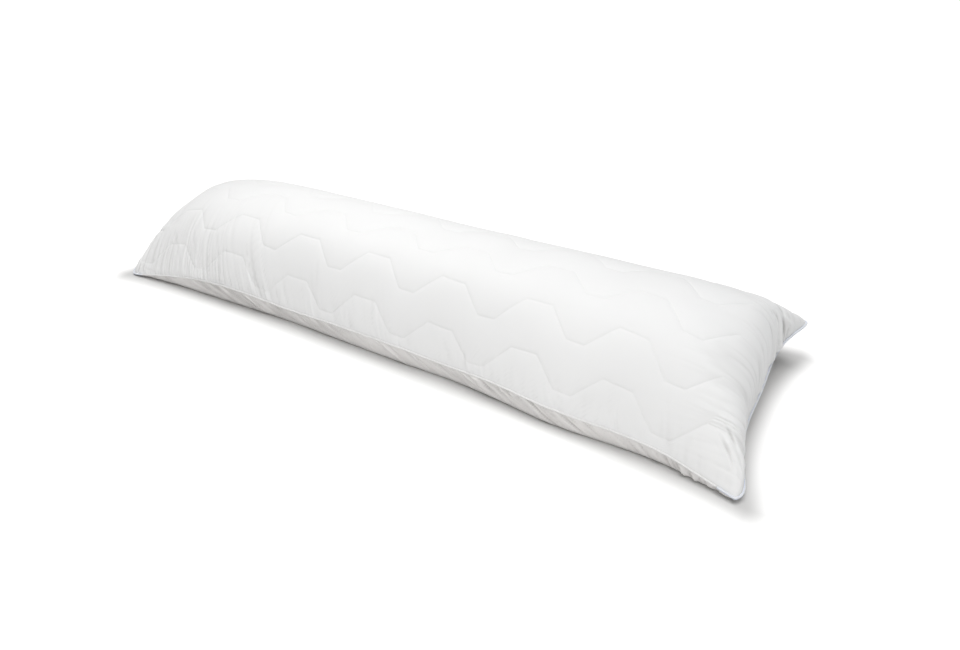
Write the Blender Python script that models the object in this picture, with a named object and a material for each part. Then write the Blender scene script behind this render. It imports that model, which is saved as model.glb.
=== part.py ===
"""Support pillow: a long quilted cushion lying on its back, with edged long seams and piped ends.

Metres, +X along the pillow, +Y from the front seam to the back seam, +Z up. The origin is the centre of
the bounding box at the surface that the pillow rests on.
"""

import math

import bmesh
import bpy
import numpy as np

# Plan of the filled pillow. The corners stand out, and the sides and ends are drawn in between them.
HALF_LENGTH = 0.650
HALF_WIDTH = 0.2036
SIDE_DRAW_IN = 0.0254
END_DRAW_IN = {"left": 0.029, "right": 0.0383}
END_WAVE = {
    "height": {"left": 0.0035, "right": 0.0040},
    "pitch": {"left": 1.200, "right": 1.190},
    "crest": {"left": 0.420, "right": 0.041},
}
CORNER_SHAPE = {"in_x": 0.0060, "in_y": 0.0060, "along": 70.0, "across": 22.0}
FRONT_RIGHT_SHAPE = {"in_x": 0.0160, "in_y": 0.0011, "along": 27.7, "across": 17.7}

# Gentle waves of the front seam: where along X, over what half-width, how far outwards and how far up.
FRONT_WAVES = (
    {"x": 0.000, "reach": 0.500, "out": -0.0037, "up": 0.0},
    {"x": -0.430, "reach": 0.100, "out": 0.0028, "up": 0.0051},
    {"x": -0.215, "reach": 0.085, "out": -0.0022, "up": -0.0053},
    {"x": 0.135, "reach": 0.060, "out": -0.0033, "up": -0.0050},
    {"x": 0.340, "reach": 0.090, "out": 0.0105, "up": 0.0},
    {"x": 0.520, "reach": 0.060, "out": -0.0042, "up": 0.0},
)

# Heights of the crown and of the seam that runs round the pillow.
CROWN_HEIGHT = 0.182
CROWN_SWELL = {"tilt": 0.085, "ends": 0.130, "right_end": 0.060}
SEAM_HEIGHT = 0.0373
SEAM_SAG = 0.33
FRONT_SEAM = {"rise": 0.04, "fall": 5.32}
END_SEAM_HEIGHT = {"left": 0.068, "right": 0.0507}
END_SEAM_RISE = {"left": 1.5, "right": 1.0}
CORNER_HEIGHT = {
    "front": {"left": 0.0030, "right": 0.0091},
    "back": {"left": 0.0200, "right": 0.0780},
}

# Powers of the curves that close the crown: along the length, and across each half of the width.
LENGTH_CURVE = {"inner": 5.65, "outer": 2.57}
FRONT_CURVE = {"inner": 2.92, "outer": 1.08}
BACK_CURVE = {"inner": 2.10, "outer": 1.27}
UNDERSIDE_CURVE = {"inner": 9.0, "outer": 2.0, "depth": 2.0}
END_UNDERCUT = {"reach": 1.0, "power": 1.25}

# Powers of the fades towards the ends and the seams: the higher, the later each sets in.
FADE = {"side_draw_in": 4, "end_draw_in": 2.2, "end_wave": 6, "end_seam": 8, "corner_height": 12}
ROW_HOLD = {"along": 12, "across": 6}

# Quilting: six rows of flat-topped waves along each panel, measured from the front seam.
PANEL_WIDTH = 0.505
ROWS = 6
ROW_PITCH = 0.0826
FIRST_ROW = 0.0228
WAVE_HEIGHT = 0.0462
WAVE_LENGTH = 0.1605
WAVE_START = -0.3933
WAVE_CORNERS = {"crest_end": 0.294, "trough_start": 0.543, "trough_end": 0.737}
CHANNEL_HALF_WIDTH = 0.007
CHANNEL_DEPTH = 0.0030
CHANNEL_SHOULDER = 0.0008
PUFF_HEIGHT = 0.0020
UNDER_CHANNEL_DEPTH = 0.0020

# The grid of each panel.
PUFF_STEPS = 4
EDGE_STEPS = 3
END_STEPS = (0.0, 0.0012, 0.0040, 0.0090, 0.0170, 0.0280, 0.0420)
WAVE_COLUMNS_GAP = 0.0590
CHANNEL_FADE = 0.0340
SECTION_POINTS = 241

# Edging and piping, which lie round the rim.
EDGING_RADIUS = 0.0016
PIPING_RADIUS = 0.0020
PIPING_TURN = 0.0280
CLEARANCE = 0.0003

COTTON_WHITE = (0.90, 0.90, 0.89, 1.0)
EDGING_WHITE = (0.93, 0.93, 0.93, 1.0)
PIPING_BLUE = (0.56, 0.68, 0.84, 1.0)


def clear_scene():
    for obj in list(bpy.data.objects):
        bpy.data.objects.remove(obj, do_unlink=True)


def make_material(name, colour, roughness):
    material = bpy.data.materials.new(name)
    material.use_nodes = True
    shader = material.node_tree.nodes["Principled BSDF"]
    shader.inputs["Base Color"].default_value = colour
    shader.inputs["Roughness"].default_value = roughness
    shader.inputs["Metallic"].default_value = 0.0
    material.diffuse_color = colour
    return material


def by_end(s, values):
    return np.where(s > 0, values["right"], values["left"])


def smooth_share(value):
    """0 below 0 and 1 above 1, and a smooth rise in between."""
    share = np.clip(value, 0.0, 1.0)
    return share * share * (3 - 2 * share)


def front_wave(x, direction):
    """How far the front seam stands out, or up, from a plain one."""
    return sum(wave[direction] * np.exp(-(((x - wave["x"]) / wave["reach"]) ** 2)) for wave in FRONT_WAVES)


def corner_inset(s, t, direction):
    """How far the rounding of a corner draws it in, which is nothing away from the corners."""
    front_right, others = (
        shape[direction] * np.abs(s) ** shape["along"] * np.abs(t) ** shape["across"]
        for shape in (FRONT_RIGHT_SHAPE, CORNER_SHAPE)
    )
    return np.where((s > 0) & (t < 0), front_right, others)


def plan_point(s, t):
    """X and Y of the point s along and t across, each from -1 to 1 at the seams."""
    along, across = np.abs(s), np.abs(t)
    phase = (t - by_end(s, END_WAVE["crest"])) / by_end(s, END_WAVE["pitch"])
    wave = by_end(s, END_WAVE["height"]) * np.cos(2 * math.pi * phase) * (1 - across ** FADE["end_wave"])
    draw_in = by_end(s, END_DRAW_IN) * (1 - across ** FADE["end_draw_in"]) * along ** FADE["side_draw_in"]
    draw_in = draw_in - wave * along ** FADE["end_seam"]
    x = s * (HALF_LENGTH - draw_in - corner_inset(s, t, "in_x"))
    side = SIDE_DRAW_IN * (1 - along ** FADE["side_draw_in"]) - front_wave(x, "out") * (t < 0)
    y = t * (HALF_WIDTH - side * across - corner_inset(s, t, "in_y"))
    return x, y


def rim_height(s, t):
    """Height of the seam plane: nearly level along the sides, and from corner to corner along the ends."""
    along, across = np.abs(s), np.abs(t)
    front, back = by_end(s, CORNER_HEIGHT["front"]), by_end(s, CORNER_HEIGHT["back"])
    corner = front + (back - front) * smooth_share(t + 0.5)
    middle = SEAM_HEIGHT * (1 - SEAM_SAG * s**2)
    side = corner + (middle - corner) * (1 - along ** FADE["corner_height"])
    lip = SEAM_HEIGHT * (1 + FRONT_SEAM["rise"] * s**2) + front_wave(s * HALF_LENGTH, "up")
    lip = front + (lip - front) * (1 - along ** FRONT_SEAM["fall"])
    side = side + (lip - side) * smooth_share(-2 * t - 1)
    end = by_end(s, END_SEAM_HEIGHT)
    end = end + (np.where(t > 0, back, front) - end) * across ** by_end(s, END_SEAM_RISE)
    return side + (end - side) * along ** FADE["end_seam"]


def closing(value, curve):
    """1 in the middle of the pillow and 0 at the seam."""
    return np.maximum(0.0, 1 - np.abs(value) ** curve["inner"]) ** (1 / curve["outer"])


def panel_point(s, t, upper):
    x, y = plan_point(s, t)
    rim = rim_height(s, t)
    if upper:
        swell = 1 + CROWN_SWELL["tilt"] * s + CROWN_SWELL["ends"] * s**2 + CROWN_SWELL["right_end"] * s**3
        across = np.where(t < 0, closing(t, FRONT_CURVE), closing(t, BACK_CURVE))
        z = rim + (CROWN_HEIGHT * swell - SEAM_HEIGHT) * closing(s, LENGTH_CURVE) * across
    else:
        reach = END_UNDERCUT["reach"] * rim_height(np.where(s > 0, 1.0, -1.0), t)
        lengthwise = np.minimum(1.0, (1 - np.abs(s)) * HALF_LENGTH / reach) ** END_UNDERCUT["power"]
        across = np.minimum(1.0, UNDERSIDE_CURVE["depth"] * closing(t, UNDERSIDE_CURVE))
        z = rim * (1 - lengthwise * across)
    return np.stack([x, y, z], axis=-1)


def quilt_wave(x):
    """1 on the crests of the quilting wave, which lie away from the front seam, and 0 in its troughs."""
    phase = np.mod((x - WAVE_START) / WAVE_LENGTH, 1.0)
    corners = [0.0, WAVE_CORNERS["crest_end"], WAVE_CORNERS["trough_start"], WAVE_CORNERS["trough_end"], 1.0]
    return np.interp(phase, corners, [1.0, 1.0, 0.0, 0.0, 1.0])


def column_positions():
    """s of each column: at the corners of the quilting wave, half-way between them, and close at the ends."""
    steps = np.array([0.0, *WAVE_CORNERS.values(), 1.0])
    steps = np.sort(np.concatenate([steps[:-1], (steps[:-1] + steps[1:]) / 2]))
    waves = np.arange(-3, 9)
    middle = (WAVE_START + WAVE_LENGTH * (waves[:, None] + steps[None, :])).ravel()
    middle = middle[np.abs(middle) < HALF_LENGTH - WAVE_COLUMNS_GAP]
    ends = HALF_LENGTH - np.array(END_STEPS)
    return np.sort(np.concatenate([-ends, middle, ends])) / HALF_LENGTH


def row_positions(x):
    """For one column: how far across the panel each row lies, and its offset from the smooth surface."""
    rows, offsets = [0.0], [0.0]
    first = FIRST_ROW + WAVE_HEIGHT * quilt_wave(x) + front_wave(x, "out")
    for index in range(ROWS):
        line = (first + ROW_PITCH * index) / PANEL_WIDTH
        shoulder = CHANNEL_HALF_WIDTH / PANEL_WIDTH
        steps = EDGE_STEPS if index == 0 else PUFF_STEPS
        start = rows[-1]
        for step in range(1, steps):
            share = step / steps
            rows.append(start + (line - shoulder - start) * share)
            offsets.append(PUFF_HEIGHT * math.sin(math.pi * share))
        rows += [line - shoulder, line, line + shoulder]
        offsets += [-CHANNEL_SHOULDER, -CHANNEL_DEPTH, -CHANNEL_SHOULDER]
    start = rows[-1]
    for step in range(1, EDGE_STEPS):
        share = step / EDGE_STEPS
        rows.append(start + (1 - start) * share)
        offsets.append(PUFF_HEIGHT * math.sin(math.pi * share))
    return np.array(rows + [1.0]), np.array(offsets + [0.0])


def place_rows(s, rows, upper):
    """t of each row, so that rows keep their distance from the front seam along the curved panel."""
    t = np.sin(np.linspace(-1, 1, SECTION_POINTS) * math.pi / 2)
    section = panel_point(np.full_like(t, s), t, upper)
    run = np.concatenate([[0.0], np.cumsum(np.linalg.norm(np.diff(section, axis=0), axis=1))])
    held = 1 - s ** ROW_HOLD["along"] if upper else 0.0
    surplus = run[-1] - PANEL_WIDTH
    reach = rows * PANEL_WIDTH + surplus * (rows + (rows ** ROW_HOLD["across"] - rows) * held)
    return np.interp(reach, run, t)


def surface_normals(points):
    """Unit normals of a grid of points, by rows and columns."""
    across = np.gradient(points, axis=0)
    along = np.gradient(points, axis=1)
    normals = np.cross(along, across)
    return normals / np.linalg.norm(normals, axis=-1, keepdims=True)


def panel_grid(upper):
    """Points of one panel by row and column, with its quilting channels and the puffs between them."""
    columns = []
    offsets = []
    for s in column_positions():
        rows, offset = row_positions(s * HALF_LENGTH)
        t = place_rows(s, rows, upper)
        draw_in = by_end(s, END_DRAW_IN) * (1 - np.abs(t) ** FADE["end_draw_in"]) / HALF_LENGTH
        straight = s * (1 + draw_in * s ** FADE["side_draw_in"] * (1 - s ** FADE["end_seam"]))
        columns.append(panel_point(straight, t, upper))
        fade = min(1.0, (1 - abs(s)) * HALF_LENGTH / CHANNEL_FADE)
        offsets.append(offset * fade)
    points = np.stack(columns, axis=1)
    offsets = np.stack(offsets, axis=1)
    normals = surface_normals(points)
    if upper:
        moved = points + normals * offsets[..., None]
    else:
        depth = UNDER_CHANNEL_DEPTH / CHANNEL_DEPTH * np.minimum(0.0, offsets)
        moved = points - normals * depth[..., None]
        moved[..., 2] = np.maximum(moved[..., 2], 0.0)
    moved[[0, -1]] = points[[0, -1]]
    moved[:, [0, -1]] = points[:, [0, -1]]
    return moved


def make_body(collection, material):
    """Both panels as one closed solid: they share the points of the rim."""
    top, under = panel_grid(True), panel_grid(False)
    row_count, column_count = top.shape[:2]
    mesh = bpy.data.meshes.new("pillow_body")
    form = bmesh.new()
    top_points = [[form.verts.new(point) for point in row] for row in top]
    under_points = []
    for i, row in enumerate(under):
        on_rim = [i in (0, row_count - 1) or j in (0, column_count - 1) for j in range(column_count)]
        under_points.append(
            [top_points[i][j] if on_rim[j] else form.verts.new(point) for j, point in enumerate(row)]
        )
    for i in range(row_count - 1):
        for j in range(column_count - 1):
            corners = ((i, j), (i, j + 1), (i + 1, j + 1), (i + 1, j))
            form.faces.new([top_points[a][b] for a, b in corners])
            form.faces.new([under_points[a][b] for a, b in reversed(corners)])
    bmesh.ops.recalc_face_normals(form, faces=form.faces)
    bmesh.ops.triangulate(form, faces=form.faces)
    for face in form.faces:
        face.smooth = True
    form.to_mesh(mesh)
    form.free()
    mesh.materials.append(material)
    body = bpy.data.objects.new("pillow_body", mesh)
    collection.objects.link(body)
    return top


def outward_offsets(rim, distance):
    """The rim's points moved outwards in plan, the rim running anticlockwise seen from above."""
    ahead = np.roll(rim, -1, axis=0) - rim
    behind = rim - np.roll(rim, 1, axis=0)
    ahead = ahead[:, :2] / np.linalg.norm(ahead[:, :2], axis=1, keepdims=True)
    behind = behind[:, :2] / np.linalg.norm(behind[:, :2], axis=1, keepdims=True)
    course = ahead + behind
    course = course / np.linalg.norm(course, axis=1, keepdims=True)
    mitred = distance / np.sum(course * ahead, axis=1)
    moved = rim.copy()
    moved[:, 0] += mitred * course[:, 1]
    moved[:, 1] -= mitred * course[:, 0]
    return moved


def shortened(points, length):
    """The same route with this much taken off each of its ends."""
    points = points.copy()
    for end, inner in ((0, 1), (-1, -2)):
        step = points[inner] - points[end]
        points[end] += step * length / np.linalg.norm(step)
    return points


def make_tube(collection, name, points, radius, material):
    curve = bpy.data.curves.new(name, "CURVE")
    curve.dimensions = "3D"
    curve.bevel_depth = radius
    curve.bevel_resolution = 2
    curve.use_fill_caps = True
    spline = curve.splines.new("POLY")
    spline.points.add(len(points) - 1)
    for spot, point in zip(spline.points, points):
        spot.co = (*point, 1.0)
    curve.materials.append(material)
    tube = bpy.data.objects.new(name, curve)
    collection.objects.link(tube)


def make_rim_pieces(collection, top, white, blue):
    """White edging along each long seam, and blue piping along each end and round its two corners."""
    row_count, column_count = top.shape[:2]
    turn = int(np.argmin(np.abs(top[0, : column_count // 2, 0] + HALF_LENGTH - PIPING_TURN)))
    front, right = top[0, :-1], top[:-1, -1]
    back, left = top[-1, :0:-1], top[:0:-1, 0]
    rim = np.concatenate([front, right, back, left])
    edging = outward_offsets(rim, EDGING_RADIUS + CLEARANCE)
    piping = outward_offsets(rim, PIPING_RADIUS + CLEARANCE)
    side, end = column_count - 1, row_count - 1
    stretches = (
        ("front_seam_edging", edging, turn, side - turn, EDGING_RADIUS, white),
        ("right_end_piping", piping, side - turn, side + end + turn, PIPING_RADIUS, blue),
        ("back_seam_edging", edging, side + end + turn, 2 * side + end - turn, EDGING_RADIUS, white),
        ("left_end_piping", piping, 2 * side + end - turn, len(rim) + turn, PIPING_RADIUS, blue),
    )
    for name, route, first, last, radius, material in stretches:
        picked = route[np.arange(first, last + 1) % len(rim)]
        make_tube(collection, name, shortened(picked, CLEARANCE), radius, material)


def main():
    clear_scene()
    collection = bpy.data.collections.new("support_pillow")
    bpy.context.scene.collection.children.link(collection)
    cotton = make_material("cover_cotton", COTTON_WHITE, 0.9)
    edging = make_material("seam_edging", EDGING_WHITE, 0.85)
    piping = make_material("end_piping", PIPING_BLUE, 0.8)
    top = make_body(collection, cotton)
    make_rim_pieces(collection, top, edging, piping)


main()
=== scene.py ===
"""Looks of the support pillow: its quilted cotton panels with their gathers, edged seams and end piping.

Metres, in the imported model's frame: +X along the pillow, +Y towards the back seam, +Z up. A place on the
cloth is given as along, measured along the pillow from its middle, and across, measured over a panel from
the front seam.
"""

import math

import bpy
import numpy as np
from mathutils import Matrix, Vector


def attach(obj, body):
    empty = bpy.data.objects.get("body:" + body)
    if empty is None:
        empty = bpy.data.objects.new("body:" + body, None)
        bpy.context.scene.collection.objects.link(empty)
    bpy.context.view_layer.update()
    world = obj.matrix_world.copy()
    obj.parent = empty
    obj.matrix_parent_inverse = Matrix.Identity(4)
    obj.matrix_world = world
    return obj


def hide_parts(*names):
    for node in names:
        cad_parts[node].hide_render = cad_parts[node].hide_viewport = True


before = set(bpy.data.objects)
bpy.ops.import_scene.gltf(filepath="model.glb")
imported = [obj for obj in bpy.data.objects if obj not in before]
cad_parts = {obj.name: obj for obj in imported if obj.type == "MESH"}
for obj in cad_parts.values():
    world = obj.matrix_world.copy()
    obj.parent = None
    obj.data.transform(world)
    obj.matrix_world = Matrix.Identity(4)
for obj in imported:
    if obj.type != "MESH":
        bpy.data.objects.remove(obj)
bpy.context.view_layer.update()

# The filled form, as the CAD model has it. The plan: corners that stand out, with drawn-in sides and ends.
HALF_LENGTH = 0.650
HALF_WIDTH = 0.2036
SIDE_DRAW_IN = 0.0254
END_DRAW_IN = {"left": 0.029, "right": 0.0383}
END_WAVE = {
    "height": {"left": 0.0035, "right": 0.0040},
    "pitch": {"left": 1.200, "right": 1.190},
    "crest": {"left": 0.420, "right": 0.041},
}
CORNER_SHAPE = {"in_x": 0.0060, "in_y": 0.0060, "along": 70.0, "across": 22.0}
FRONT_RIGHT_SHAPE = {"in_x": 0.0160, "in_y": 0.0011, "along": 27.7, "across": 17.7}
# Gentle waves of the front seam: where along X, over what half-width, how far outwards and how far up.
FRONT_WAVES = (
    {"x": 0.000, "reach": 0.500, "out": -0.0037, "up": 0.0},
    {"x": -0.430, "reach": 0.100, "out": 0.0028, "up": 0.0051},
    {"x": -0.215, "reach": 0.085, "out": -0.0022, "up": -0.0053},
    {"x": 0.135, "reach": 0.060, "out": -0.0033, "up": -0.0050},
    {"x": 0.340, "reach": 0.090, "out": 0.0105, "up": 0.0},
    {"x": 0.520, "reach": 0.060, "out": -0.0042, "up": 0.0},
)
CROWN_HEIGHT = 0.182
CROWN_SWELL = {"tilt": 0.085, "ends": 0.130, "right_end": 0.060}
SEAM_HEIGHT = 0.0373
SEAM_SAG = 0.33
FRONT_SEAM = {"rise": 0.04, "fall": 5.32}
END_SEAM_HEIGHT = {"left": 0.068, "right": 0.0507}
END_SEAM_RISE = {"left": 1.5, "right": 1.0}
CORNER_HEIGHT = {
    "front": {"left": 0.0030, "right": 0.0091},
    "back": {"left": 0.0200, "right": 0.0780},
}
LENGTH_CURVE = {"inner": 5.65, "outer": 2.57}
FRONT_CURVE = {"inner": 2.92, "outer": 1.08}
BACK_CURVE = {"inner": 2.10, "outer": 1.27}
UNDERSIDE_CURVE = {"inner": 9.0, "outer": 2.0, "depth": 2.0}
END_UNDERCUT_POWER = 1.25
# Powers of the fades towards the ends and the seams: the higher, the later each sets in.
FADE = {"side_draw_in": 4, "end_draw_in": 2.2, "end_wave": 6, "end_seam": 8, "corner_height": 12}
ROW_HOLD = {"along": 12, "across": 6}

# Quilting: each row is a wave in x, at its distance across the panel.
PANEL_WIDTH = 0.505
ROWS = 6
ROW_PITCH = 0.0826
FIRST_ROW = 0.0228
WAVE_HEIGHT = 0.0462
WAVE_LENGTH = 0.1605
WAVE_START = -0.3933
WAVE_CORNERS = {"crest_end": 0.294, "trough_start": 0.543, "trough_end": 0.737}
CHANNEL = {"line_depth": 0.0006, "line_reach": 0.0022, "puff_depth": 0.0011, "puff_reach": 0.0120}
UNDER_CHANNEL_SHARE = 0.5

# The grids of the two panels. Columns are closest where the cloth is gathered. On the top panel, rows follow
# the quilting lines. Past FINE_FROM, rows are as close as fine_step, for the gathers that run along the
# pillow into its right end.
FINE_FROM = 0.500
COLUMN_FAN = 3
TOP_GRID = {
    "column_pitch": (
        (-0.80, 0.0016),
        (-0.34, 0.0017),
        (-0.18, 0.0023),
        (0.50, 0.0027),
        (0.60, 0.0020),
        (0.80, 0.0018),
    ),
    "beside_line": (0.0009, 0.0022, 0.0048),
    "between": 9,
    "margin": 9,
    "fine_step": 0.0014,
}
UNDER_GRID = {
    "column_pitch": ((-0.80, 0.0018), (0.80, 0.0018)),
    "row_pitch": (
        (0.0, 0.0022),
        (0.055, 0.0030),
        (0.08, 0.009),
        (0.425, 0.009),
        (0.45, 0.0030),
        (0.505, 0.0022),
    ),
    "fine_step": 0.0030,
}
# How many points the form is measured with: along the pillow, round a section, and across a panel.
LENGTH_POINTS = 4001
SECTION_POINTS = 321
ROW_POINTS = 2001
SHARE_POINTS = 61
LINE_SEARCH_ROUNDS = 6

# Gathers, where the seams draw the cloth in: pitch of the wrinkles, how far they reach and how high.
SIDE_GATHERS = (
    {"pitch": 0.0040, "reach": 0.030, "height": 0.0007},
    {"pitch": 0.0047, "reach": 0.060, "height": 0.0010},
    {"pitch": 0.0064, "reach": 0.090, "height": 0.0008},
)
END_GATHERS = (
    {"pitch": 0.0055, "reach": 0.050, "height": 0.0019},
    {"pitch": 0.0085, "reach": 0.090, "height": 0.0036},
    {"pitch": 0.0120, "reach": 0.120, "height": 0.0020},
)
# Their form, in pitches along the seam and in reaches away from it. A fold drifts sideways, some stretches
# bunch up more than others, and a power below 1 gives sharp valleys between round ridges.
GATHER_FORM = {
    "drift_pitch": 4,
    "drift_bend": 0.8,
    "fold_reach": 2.2,
    "bunch_pitch": 7,
    "bunch": {"mean": 0.65, "swing": 0.7},
    "ridge": 2.3,
    "valley": 0.9,
    "valley_power": 0.7,
    "reach": {"mean": 0.8, "swing": 0.5},
    "fade_power": 1.6,
}
# How strong the side gathers are along the pillow, and how far they spread and lean.
SIDE_STRENGTH = (
    (-0.65, 1.9),
    (-0.42, 1.9),
    (-0.34, 1.6),
    (-0.20, 1.0),
    (0.0, 0.6),
    (0.25, 0.6),
    (0.48, 0.8),
    (0.58, 0.2),
    (0.80, 0.2),
)
SIDE_SPREAD = (
    (-0.65, 1.5),
    (-0.45, 1.5),
    (-0.34, 1.3),
    (-0.20, 1.0),
    (0.0, 0.7),
    (0.40, 0.7),
    (0.65, 0.6),
)
SIDE_LEAN = (
    (-0.62, 0.0),
    (-0.52, 0.05),
    (-0.45, 0.2),
    (-0.38, 0.4),
    (-0.30, 0.5),
    (-0.20, 0.4),
    (0.65, 0.25),
)
# The right end's gathers are weak in the front corner, whose cloth is smooth, and strongest in the middle.
LEFT_END_STRENGTH = 0.35
RIGHT_END_STRENGTH = ((0.0, 0.2), (0.04, 0.3), (0.10, 1.0), (0.36, 1.2), (0.45, 0.7), (0.51, 0.4))
END_LEAN = 0.10
UNDER_STRENGTH = 3.2
UNDER_SPREAD = 1.0
UNDER_LEAN = 1.35
UNDER_CHANNEL_MARGIN = 0.060
# How near the surface it rests on the under panel turns smooth, and how near the rim both panels do.
RESTING_FADE = 0.008
RIM_FADE = 0.0030
# Unevenness of the top panel's padding: puckers beside the quilting lines, and a broad swell.
LINE_PUCKER = {"height": 0.00010, "along": 0.0055, "across": 0.0090, "reach": 0.007, "seed": 3}
BROAD_SWELL = {"height": 0.0010, "along": 0.085, "across": 0.070, "shift": (3.3, 1.7), "seed": 5}
# Seeds of the gathers at a panel's two sides or two ends.
TOP_SEEDS = {"sides": (20, 120), "ends": (220, 320)}
UNDER_SEEDS = {"sides": (420, 520), "ends": (620, 720)}
NOISE_SIZE = 256

# Single creases of the top panel: start, bend and end, each as x and distance from the front seam, then depth
# and half width.
TOP_CREASES = (
    ((-0.507, 0.118), (-0.478, 0.072), (-0.446, 0.012), 0.0008, 0.0032),
    ((-0.434, 0.112), (-0.405, 0.065), (-0.393, 0.006), 0.0008, 0.0032),
    ((-0.420, 0.110), (-0.398, 0.070), (-0.384, 0.008), 0.0007, 0.0028),
    ((-0.562, 0.108), (-0.536, 0.075), (-0.505, 0.020), 0.0007, 0.0034),
    ((-0.171, 0.104), (-0.162, 0.075), (-0.156, 0.050), 0.0004, 0.0032),
    ((-0.240, 0.050), (-0.234, 0.026), (-0.230, 0.004), 0.0005, 0.0030),
    ((-0.033, 0.070), (-0.025, 0.040), (-0.021, 0.010), 0.0006, 0.0036),
    ((0.124, 0.044), (0.134, 0.024), (0.146, 0.006), 0.0006, 0.0034),
    ((0.166, 0.032), (0.169, 0.018), (0.172, 0.003), 0.0007, 0.0030),
    ((0.231, 0.030), (0.236, 0.016), (0.240, 0.003), 0.0006, 0.0030),
    ((0.428, 0.034), (0.433, 0.018), (0.437, 0.003), 0.0007, 0.0030),
    ((0.590, 0.058), (0.605, 0.045), (0.622, 0.026), 0.0018, 0.0024),
    ((0.592, 0.078), (0.610, 0.062), (0.629, 0.045), 0.0018, 0.0024),
    ((0.606, 0.062), (0.620, 0.048), (0.634, 0.035), 0.0016, 0.0022),
    ((0.596, 0.340), (0.615, 0.378), (0.628, 0.425), 0.0018, 0.0026),
    ((0.600, 0.362), (0.618, 0.402), (0.630, 0.438), 0.0022, 0.0026),
    ((0.607, 0.388), (0.625, 0.420), (0.634, 0.447), 0.0024, 0.0026),
    ((0.617, 0.412), (0.631, 0.438), (0.637, 0.459), 0.0020, 0.0024),
)
# Form of a crease, in half widths: a valley with a low ridge on each side. It fades at its two ends, which
# lie a little inside the half wave of its strength.
CREASE_FORM = {"points": 25, "ridge": 0.45, "ridge_place": 1.9, "limit": 5, "power": 0.8}
CREASE_PHASE = {"first": 0.06, "span": 0.85}

# Single tucks of the under panel's front side: x at the seam, reach, depth and half width.
UNDER_TUCKS = (
    (0.112, 0.030, 0.0024, 0.0030),
    (0.122, 0.026, 0.0018, 0.0022),
    (0.171, 0.022, 0.0014, 0.0025),
    (0.206, 0.032, 0.0026, 0.0032),
    (0.216, 0.028, 0.0018, 0.0022),
    (0.246, 0.024, 0.0018, 0.0026),
    (0.312, 0.028, 0.0022, 0.0028),
    (0.321, 0.024, 0.0016, 0.0020),
    (0.356, 0.032, 0.0028, 0.0034),
    (0.368, 0.026, 0.0018, 0.0022),
    (0.390, 0.022, 0.0016, 0.0022),
    (0.446, 0.024, 0.0016, 0.0026),
    (0.462, 0.022, 0.0014, 0.0022),
)
# Where a tuck bends, as shares of its lean and of its reach, and how far past the seam it runs.
TUCK_BEND = {"x": 0.42, "across": 0.52}
TUCK_PAST_SEAM = 0.002

# Edging and piping, which lie round the rim, sewn a little way into it. The piping turns each corner and runs
# PIPING_TURN along the long sides, where the edging takes over.
EDGING_RADIUS = 0.0016
PIPING_RADIUS = 0.0020
PIPING_TURN = 0.0280
CLEARANCE = 0.0003
TUBE_SIDES = 12
CORD_STEP = 0.0009
SEWN_IN = 0.0004
STITCH_PITCH = 0.0032
STITCH_SWELL = 0.06
CORD_TIP = 0.3
CORD_WANDER = {"height": 0.0004, "pitch": 0.012, "first_seed": 900}

# Colours. The cotton varies between two tones. The deepest valleys of its wrinkles carry painted shade: their
# colour is multiplied by the darker tone below, which they reach in full at the wrinkle depth below it.
WHITE = (1.0, 1.0, 1.0, 1.0)
TOP_TONES = ((0.775, 0.775, 0.772, 1.0), (0.800, 0.800, 0.797, 1.0))
UNDER_TONES = ((0.775, 0.758, 0.742, 1.0), (0.800, 0.784, 0.768, 1.0))
# Painted shade in the wrinkles' valleys: the tone it darkens to, and the depth at which it is full.
PAINTED_VALLEY_SHADE_TONE = (0.75, 0.745, 0.74, 1.0)
PAINTED_SHADE_FULL_DEPTH = 0.0024
EDGING_TONE = (0.80, 0.795, 0.79, 1.0)
PIPING_TONES = ((0.80, 0.81, 0.83, 1.0), (0.52, 0.61, 0.80, 1.0))

# Fine detail of the materials. A dash level is the height of a sine wave above which a stitch shows, and each
# bump is a strength and a distance.
WEAVE_PITCH = 0.0009
QUILT_STITCH = {"half_width": 0.00055, "dash_level": -0.55}
SLUB = {"scale": 260.0, "stretch": (1.0, 0.25, 1.0), "detail": 4.0}
MOTTLE = {"cotton": 14.0, "piping": 900.0}
THREADS_PER_STITCH = 4
BUMPS = {"weave": (0.10, 0.0001), "slub": (0.12, 0.0004), "stitch": (0.5, 0.0004), "thread": (0.5, 0.0003)}
# The piping's blue threads: degrees round it from its outer side, half width as a cosine, dash level, and how
# much bluer a dash is.
BLUE_THREAD = {"face": 55.0, "half_width": 0.34, "dash_level": -0.5, "dash_share": 0.5}

# Studio light.
WORLD_STRENGTH = 0.10
FLOOR_SIZE = 16.0
FLOOR_DROP = 0.0004
# The floor's own glow: none under the pillow, rising over a short way outside it, and more again far out. The
# missing glow under and close beside the pillow paints a contact shadow there.
FLOOR_GLOW_AND_PAINTED_SHADOW = {"near": 0.50, "rise": 0.045, "far": 0.66, "far_start": 0.5, "far_end": 2.0}
FLOOR_TONE = (0.58, 0.576, 0.570, 1.0)
OVERHEAD = {"place": (0.0, 0.0, 1.0), "strength": 2.28, "angle": 46.0}
SOFTBOXES = (
    {
        "name": "key",
        "place": (-0.35, 0.45, 1.15),
        "target": (-0.20, 0.0, 0.1),
        "power": 4.9,
        "size": 0.7,
        "tone": (1.0, 1.0, 1.0),
    },
    {
        "name": "fill",
        "place": (0.60, -1.75, 0.80),
        "target": (0.15, 0.0, 0.1),
        "power": 7.4,
        "size": 0.9,
        "tone": (1.0, 1.0, 1.0),
    },
    {
        "name": "end",
        "place": (1.60, 0.70, 0.90),
        "target": (0.50, 0.0, 0.1),
        "power": 1.0,
        "size": 0.8,
        "tone": (0.76, 0.86, 1.0),
    },
    {
        "name": "front",
        "place": (0.55, -0.80, 1.40),
        "target": (0.30, -0.1, 0.1),
        "power": 2.5,
        "size": 1.0,
        "tone": (1.0, 1.0, 1.0),
    },
)

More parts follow.
